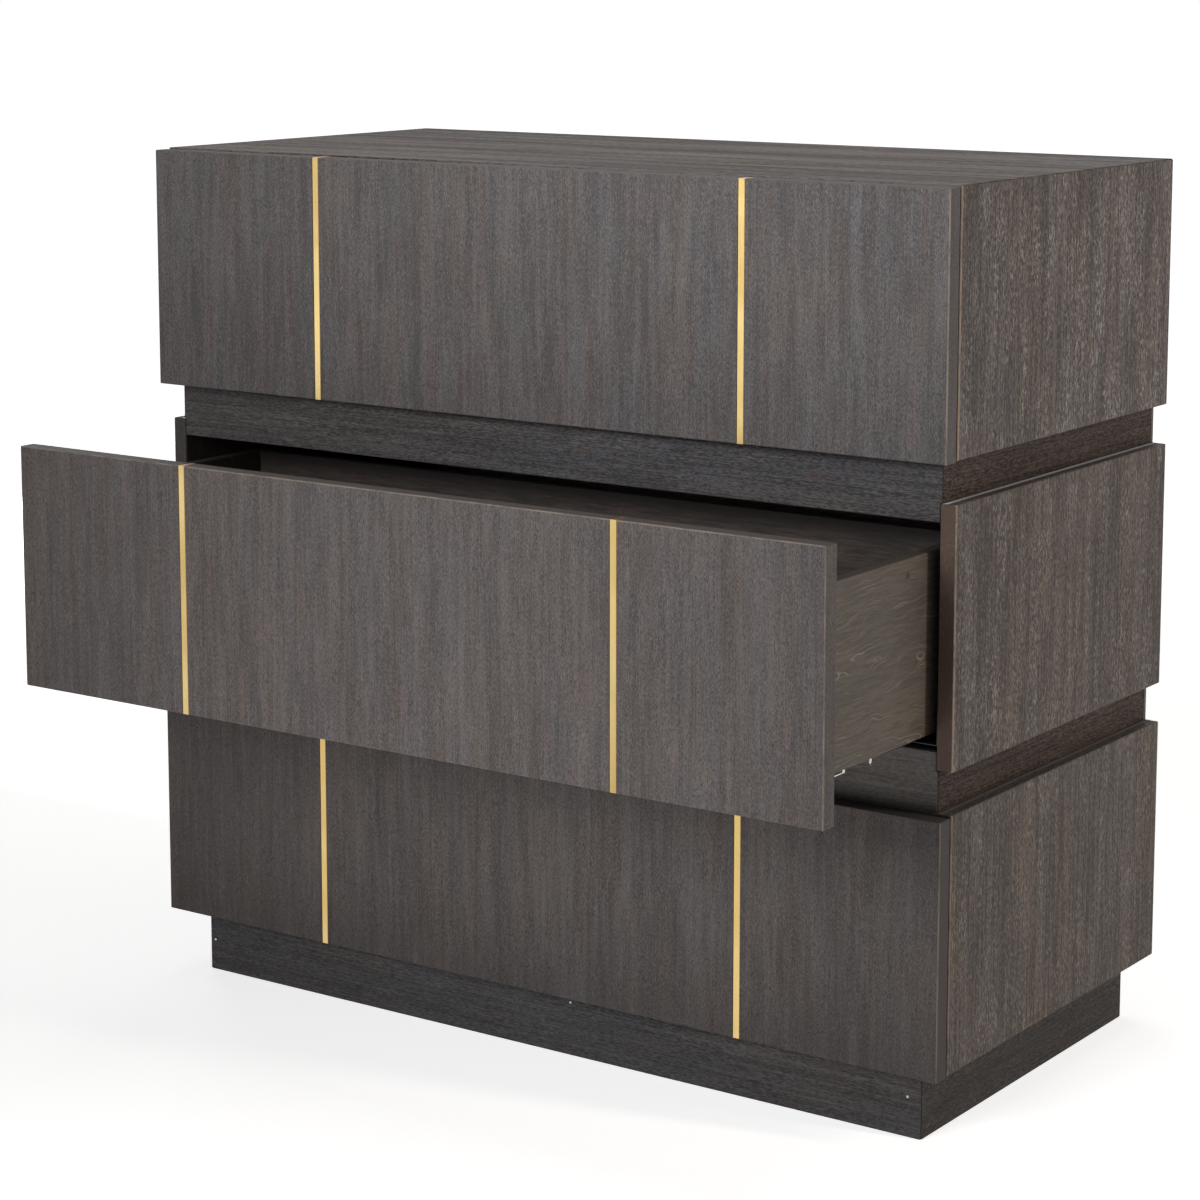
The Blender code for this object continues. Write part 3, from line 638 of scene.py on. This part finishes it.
def metal_finish(name, base, film, roughness, brushed, clouds=36.0, edge=None):
    """Metal with a clouded film. brushed is the scale of its brush lines on each axis.

    edge is the colour of a brass strip's edges, and of its parts that look up or down, where
    it is a painted dark reflection.
    """
    t = Surface(name)
    lines = t.streak(t.place, brushed, *BRUSH_NOISE)
    cloud = t.noise(t.place, clouds, *FILM_NOISE)
    colour = t.blend(t.spread(cloud, *FILM_RANGE), base, film)
    # Darker edge lines, and a painted dark reflection on faces that look up or down
    if edge:
        beside = t.spread(t.from_line(INLAY_X), *INLAY_EDGE_RANGE)
        mask = t.math("MAXIMUM", beside, t.faces("Z"))
        colour = t.lay(colour, edge, mask, INLAY_EDGE_AMOUNT)
    t.dress(Base_Color=colour, Roughness=t.spread(lines, *BRUSH_RANGE, *roughness),
            Metallic=1.0)
    t.raise_by(lines, *METAL_RELIEF)
    return t.material


FRONT_LOOK = dict(dark=FRONT_DARK, mid=FRONT_MID, fleck=FRONT_FLECK, fineness=(2.2, 2.0),
                  fine=1.30, threads=0.85, bands=0.72, flecks=0.36, warm=RED_TINT, bump=0.14,
                  end_shade=0.88)
PANEL_LOOK = dict(dark=PANEL_DARK, mid=PANEL_MID, fleck=PANEL_FLECK, fineness=(0.95, 1.35),
                  fine=1.70, threads=3.2, bands=1.7, bump=0.30, end_shade=0.40)
TOP_LOOK = dict(dark=TOP_DARK, mid=TOP_MID, fleck=PANEL_FLECK, fineness=(0.8, 0.6),
                fine=1.0, threads=2.6, bands=3.2, flecks=0.30, gloss=0.10, bump=0.30)
BAND_LOOK = dict(dark=BAND_DARK, mid=BAND_MID, fleck=BAND_FLECK, fineness=(1.3, 1.0),
                 fine=0.95, threads=1.1, bands=0.30, flecks=0.40, rust=0.45, bump=0.30)
# A lighter copy of the band's veneer for the lower front rail: painted light
LIT_LOWER_RAIL_LOOK = dict(BAND_LOOK, dark=LIT_LOWER_RAIL_DARK, mid=LIT_LOWER_RAIL_MID, fine=0.60,
                       threads=0.80, flecks=0.18)
SIDE_BAND_LOOK = dict(BAND_LOOK, dark=SIDE_BAND_DARK, mid=SIDE_BAND_MID,
                      fleck=SIDE_BAND_FLECK, fineness=(0.9, 0.9), fine=1.3, threads=2.0,
                      gloss=0.12)
PLINTH_LOOK = dict(BAND_LOOK, dark=PLINTH_DARK, mid=PLINTH_MID, rust=0.6)
PLINTH_SIDE_LOOK = dict(BAND_LOOK, dark=PLINTH_SIDE_DARK, mid=PLINTH_SIDE_MID,
                        fleck=SIDE_BAND_FLECK, threads=1.6, gloss=0.15)
BOX_LOOK = dict(base=BOX_BASE, shade=BOX_SHADE, lines=0.95)
BACK_LOOK = dict(base=BACK_BASE, shade=BACK_SHADE, lines=0.20)
SHEET_LOOK = dict(base=SHEET_BASE, shade=SHEET_SHADE, lines=0.40)
BRASS_LOOK = dict(roughness=(0.24, 0.36), brushed=(2600.0, 900.0, 30.0), clouds=7.0,
                  edge=BRASS_EDGE)
STEEL_LOOK = dict(base=STEEL_DARK, film=STEEL_FILM, roughness=(0.38, 0.50),
                  brushed=(300.0, 40.0, 300.0))
ZINC_LOOK = dict(base=ZINC_BASE, film=ZINC_FILM, roughness=(0.26, 0.40),
                 brushed=(400.0, 400.0, 400.0))

# What differs from tier to tier: painted shade on the front, its ends and the side panels,
# painted reflection on the brass, how far the front's top arris and other arrises are rubbed,
# how many flecks the side panels have, and how strong their painted highlight is
TIER_LOOKS = {
    "lower": dict(
        front_painted_shade=(0.68, 0.640, 0.605), panel_painted_shade=(0.89, 0.86, 0.80), brass_painted_reflection=1.10,
        end_painted_shade=0.95, top_wear=0.15, wear=0.55, flecks=0.58, ledge=0.12),
    "middle": dict(
        front_painted_shade=(0.78, 0.725, 0.69), panel_painted_shade=(0.86, 0.83, 0.79), brass_painted_reflection=0.84,
        end_painted_shade=0.0, top_wear=0.60, wear=0.65, flecks=0.80, ledge=0.92),
    "upper": dict(
        front_painted_shade=(0.98, 0.945, 0.925), panel_painted_shade=(1.0, 1.0, 1.0), brass_painted_reflection=1.0,
        end_painted_shade=0.34, top_wear=0.08, wear=0.90, flecks=0.92, ledge=0.0),
}


def shaded(look, shade):
    """The look with each channel of its wood colours times a painted shade."""
    woods = {key: tuple(channel * part for channel, part in zip(look[key], shade))
             for key in ("dark", "mid", "fleck")}
    return dict(look, **woods)


def finish(node, material):
    """The CAD piece gets a better material in its own slot."""
    for slot in NODES[node].material_slots:
        slot.material = material


def worn_edges(node, width, amount, top_amount=0.0, side=None):
    """The board's corners, with the planes whose edges stay dark put far away.

    These are the rear one and, for a board on one side of the chest, the inner one.
    """
    low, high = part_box(node)
    if side == "left":
        high.x = FAR
    if side == "right":
        low.x = -FAR
    high.y = FAR
    return {"Low": tuple(low), "High": tuple(high), "Width": width, "Amount": amount,
            "Top Amount": top_amount}


def outer_x(node, side):
    """Where the piece's face on its own side of the chest lies."""
    low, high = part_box(node)
    return low.x if side == "left" else high.x


def finish_case():
    finish("top_panel", veneer_finish("top_veneer", "X", (0.3, 0.9, 0.1), **TOP_LOOK))
    for number, tier in enumerate(TIERS):
        own = TIER_LOOKS[tier]
        for side in SIDES:
            node = f"{tier}_side_panel_{side}"
            # Each tier's side panels are a darker or lighter copy of one veneer: painted
            # shade
            finish(node, veneer_finish(
                f"{tier}_{side}_side_veneer", "Z", (0.0, 0.4 * number, 1.7 * number),
                end_axis="Y", edge_stain_and_shade=EDGE_STAIN_AND_SHADE[side], ledge=own["ledge"],
                worn=worn_edges(node, PANEL_ARRIS_WIDTH, own["wear"], side=side),
                rubbed=PANEL_ARRIS, flecks=own["flecks"], inward=INWARD[side],
                **shaded(PANEL_LOOK, own["panel_painted_shade"])))
    for number, (band, front_look) in enumerate((("lower", LIT_LOWER_RAIL_LOOK),
                                                 ("upper", BAND_LOOK))):
        place = (0.0, 1.3 * number, 0.7)
        finish(f"{band}_band_front_rail",
               veneer_finish(f"{band}_band_front_veneer", "X", place, **front_look))
        for side in SIDES:
            finish(f"{band}_band_side_rail_{side}",
                   veneer_finish(f"{band}_band_{side}_veneer", "Y", place, **SIDE_BAND_LOOK))
    for board, axis, look in (("front", "X", PLINTH_LOOK), ("back", "X", PLINTH_LOOK),
                              ("left", "Y", PLINTH_SIDE_LOOK),
                              ("right", "Y", PLINTH_SIDE_LOOK)):
        finish(f"plinth_{board}",
               veneer_finish(f"plinth_{board}_veneer", axis, (0.2, 0.6, 0.3), **look))
    finish("plinth_stretcher", pine_finish("stretcher_pine", "Y"))
    for panel in ("bottom_panel", "back_panel"):
        finish(panel, plywood_finish(f"{panel}_ply", "X", (0.4, 0.2, 0.8), **SHEET_LOOK))


def brass_finish(tier):
    """Satin brass, a little darker or lighter from drawer to drawer: painted reflection."""
    base, film = (tuple(part * TIER_LOOKS[tier]["brass_painted_reflection"] for part in colour)
                  for colour in (BRASS_BASE, BRASS_DULL))
    return metal_finish(f"{tier}_satin_brass", base, film, **BRASS_LOOK)


STEEL = metal_finish("dark_runner_steel", **STEEL_LOOK)
ZINC = metal_finish("bright_zinc", **ZINC_LOOK)


def finish_drawers():
    for number, tier in enumerate(TIERS):
        own = TIER_LOOKS[tier]
        front = f"{tier}_drawer_front"
        finish(front, veneer_finish(
            f"{tier}_front_veneer", "Z", (0.7 * number, 0.0, 2.3 * number), end_axis="X",
            worn=worn_edges(front, FRONT_ARRIS_WIDTH, own["wear"], own["top_wear"]),
            rubbed=FRONT_ARRIS, side_painted_shade=own["end_painted_shade"],
            **shaded(FRONT_LOOK, own["front_painted_shade"])))
        brass = brass_finish(tier)
        for side in SIDES:
            finish(f"{tier}_drawer_inlay_{side}", brass)
            box_side = f"{tier}_drawer_box_{side}"
            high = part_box(box_side)[1]
            finish(box_side, plywood_finish(
                f"{tier}_{side}_box_ply", "Y", (0.1, 0.3, 0.9 * number),
                knot=(outer_x(box_side, side), high.y - KNOT_FROM_REAR * MM,
                      high.z - KNOT_FROM_TOP * MM),
                inward=INWARD[side], **BOX_LOOK))
            for profile in ("drawer", "middle", "cabinet"):
                finish(f"{tier}_runner_{profile}_profile_{side}", STEEL)
        finish(f"{tier}_drawer_box_back",
               plywood_finish(f"{tier}_box_back_ply", "X", (0.5, 0.3, 0.9 * number),
                              rim=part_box(f"{tier}_drawer_box_back")[1].z, **BACK_LOOK))
        finish(f"{tier}_drawer_box_bottom",
               plywood_finish(f"{tier}_box_bottom_ply", "X", (0.2, 0.7, 0.9 * number),
                              **BACK_LOOK))


def keep_piece(name, bm, material, body):
    """The bmesh becomes a piece at the origin that rides on a CAD body."""
    bmesh.ops.recalc_face_normals(bm, faces=bm.faces)
    mesh = bpy.data.meshes.new(name)
    bm.to_mesh(mesh)
    bm.free()
    mesh.materials.append(material)
    piece = bpy.data.objects.new(name, mesh)
    bpy.context.scene.collection.objects.link(piece)
    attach(piece, body)


def edges_of(made):
    """The edges of what a bmesh operator made, each once and in a fixed order."""
    return list(dict.fromkeys(edge for vert in made["verts"] for edge in vert.link_edges))


def ease(bm, edges, offset):
    bmesh.ops.bevel(bm, geom=edges, offset=offset, offset_type="OFFSET", segments=2,
                    profile=0.5, affect="EDGES", material=-1)


def add_head(bm, place, facing, sizes):
    """A low round head with an eased rim, standing on a surface at place."""
    radius, height = (size * MM for size in sizes)
    place, facing = Vector(place), Vector(facing)
    turn = facing.to_track_quat("Z", "Y").to_matrix().to_4x4()
    made = bmesh.ops.create_cone(
        bm, cap_ends=True, segments=HEAD_SIDES, radius1=radius, radius2=radius, depth=height,
        matrix=Matrix.Translation(place + facing * height / 2) @ turn)
    rim = [edge for edge in edges_of(made) if len(edge.link_faces) == 2 and all(
        (vert.co - place).dot(facing) > height * RIM_LEVEL for vert in edge.verts)]
    ease(bm, rim, height * RIM_EASE)


def add_plate(bm, low, high):
    """A small plate between two corners, with eased edges."""
    size = [b - a for a, b in zip(low, high)]
    middle = [(a + b) / 2 for a, b in zip(low, high)]
    made = bmesh.ops.create_cube(
        bm, size=1.0, matrix=Matrix.Translation(middle) @ Matrix.Diagonal((*size, 1.0)))
    ease(bm, edges_of(made), PLATE_EASE * MM)


def add_plinth_brads():
    bm = bmesh.new()
    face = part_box("plinth_front")[0].y
    for across, height in BRAD_PLACES:
        add_head(bm, (across * MM, face, height * MM), (0.0, -1.0, 0.0), BRAD_HEAD)
    keep_piece("plinth_front_brads", bm, ZINC, "case")


def add_back_screws():
    bm = bmesh.new()
    low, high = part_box("back_panel")
    places = [(across, height) for across in BACK_SCREW_COLUMNS
              for height in (low.z + BACK_SCREW_INSET * MM, high.z - BACK_SCREW_INSET * MM)]
    places += [(across, height * MM) for height in BACK_SCREW_ROWS
               for across in (BACK_SCREW_COLUMNS[0], BACK_SCREW_COLUMNS[-1])]
    for across, height in places:
        add_head(bm, (across * MM, high.y, height), (0.0, 1.0, 0.0), BACK_SCREW_HEAD)
    keep_piece("back_panel_screws", bm, ZINC, "case")


def add_runner_screws():
    bm = bmesh.new()
    for tier in TIERS:
        for side in SIDES:
            profile = f"{tier}_runner_cabinet_profile_{side}"
            low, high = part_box(profile)
            face = outer_x(profile, side) + INWARD[side] * RUNNER_SHEET * MM
            for back in RUNNER_SCREWS_BACK:
                add_head(bm, (face, low.y + back * MM, high.z - RUNNER_SCREWS_DOWN * MM),
                         (INWARD[side], 0.0, 0.0), RUNNER_SCREW_HEAD)
    keep_piece("runner_screws", bm, ZINC, "case")


def add_drawer_hardware():
    """Under each box side: the bright tab of its clip, and a stop pin."""
    for tier in TIERS:
        bm = bmesh.new()
        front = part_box(f"{tier}_drawer_front")[1].y
        for side in SIDES:
            box_side = f"{tier}_drawer_box_{side}"
            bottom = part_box(box_side)[0].z
            outer = outer_x(box_side, side)
            xs = sorted(outer + INWARD[side] * inset * MM for inset in CLIP_ACROSS)
            for (near, far), (under, over) in (CLIP_TAB, CLIP_LEG):
                add_plate(bm, (xs[0], front + near * MM, bottom + under * MM),
                          (xs[1], front + far * MM, bottom + over * MM))
            add_head(bm, (outer + INWARD[side] * PIN_IN * MM, front + PIN_BACK * MM,
                          bottom - PIN_DOWN * MM), (0.0, 0.0, -1.0), STOP_PIN)
        keep_piece(f"{tier}_clip_tabs_and_pins", bm, ZINC, f"{tier}_drawer")


def light_panel(name, place, target, width, height, power, colour, spread, in_gloss):
    data = bpy.data.lights.new(name, "AREA")
    data.shape = "RECTANGLE"
    data.size = width
    data.size_y = height
    data.energy = power
    data.color = colour
    data.spread = math.radians(spread)
    lamp = bpy.data.objects.new(name, data)
    lamp.visible_camera = False
    lamp.visible_glossy = in_gloss
    lamp.location = place
    aim = Vector(target) - Vector(place)
    lamp.rotation_euler = aim.to_track_quat("-Z", "Y").to_euler()
    bpy.context.scene.collection.objects.link(lamp)


def seen_directly(t):
    """1 where the camera looks, also by way of metal or glass."""
    path = t.add("ShaderNodeLightPath").outputs
    return t.math("MAXIMUM", path["Is Camera Ray"],
                  t.math("MAXIMUM", path["Is Glossy Ray"], path["Is Transmission Ray"]))


def make_studio():
    scene = bpy.context.scene
    scene.view_settings.view_transform = "Standard"

    world = bpy.data.worlds.new("studio")
    world.use_nodes = True
    world.node_tree.nodes.clear()
    t = Tree(world.node_tree)
    soft = t.add("ShaderNodeBackground", {"Color": WHITE, "Strength": WORLD_STRENGTH})
    white = t.add("ShaderNodeBackground", {"Color": WHITE, "Strength": 1.0})
    mix = t.add("ShaderNodeMixShader", {
        "Fac": seen_directly(t), 1: soft.outputs["Background"],
        2: white.outputs["Background"]})
    t.add("ShaderNodeOutputWorld", {"Surface": mix.outputs["Shader"]})
    scene.world = world

    for lamp in LAMPS:
        light_panel(*lamp)


def make_floor():
    """White paper that keeps the shadow of the chest and fades into the backdrop."""
    bm = bmesh.new()
    bmesh.ops.create_grid(bm, x_segments=1, y_segments=1, size=FLOOR_SIZE)
    mesh = bpy.data.meshes.new("studio_floor")
    bm.to_mesh(mesh)
    bm.free()
    floor = bpy.data.objects.new("studio_floor", mesh)
    bpy.context.scene.collection.objects.link(floor)

    t = Surface("floor_paper")
    away = t.add("ShaderNodeVectorMath", {0: t.place}, operation="LENGTH")
    lift = t.spread(away.outputs["Value"], *FLOOR_LIFT)
    t.dress(Base_Color=t.blend(t.noise(t.place, FLOOR_SPECKLE), FLOOR_GREY, FLOOR_LIGHT),
            Roughness=FLOOR_ROUGHNESS, Specular_IOR_Level=FLOOR_GLOSS, Emission_Color=WHITE,
            Emission_Strength=t.math("MULTIPLY", seen_directly(t), lift))
    mesh.materials.append(t.material)


def make_camera():
    data = bpy.data.cameras.new("camera")
    data.sensor_width = SENSOR_WIDTH
    data.lens = LENS
    data.shift_y = SHIFT
    camera = bpy.data.objects.new("camera", data)
    camera.location = CAMERA_PLACE
    camera.rotation_euler = (math.radians(90.0 - CAMERA_DOWN), 0.0, math.radians(CAMERA_TURN))
    bpy.context.scene.collection.objects.link(camera)
    bpy.context.scene.camera = camera


finish_case()
finish_drawers()
add_plinth_brads()
add_back_screws()
add_runner_screws()
add_drawer_hardware()
make_studio()
make_floor()
make_camera()
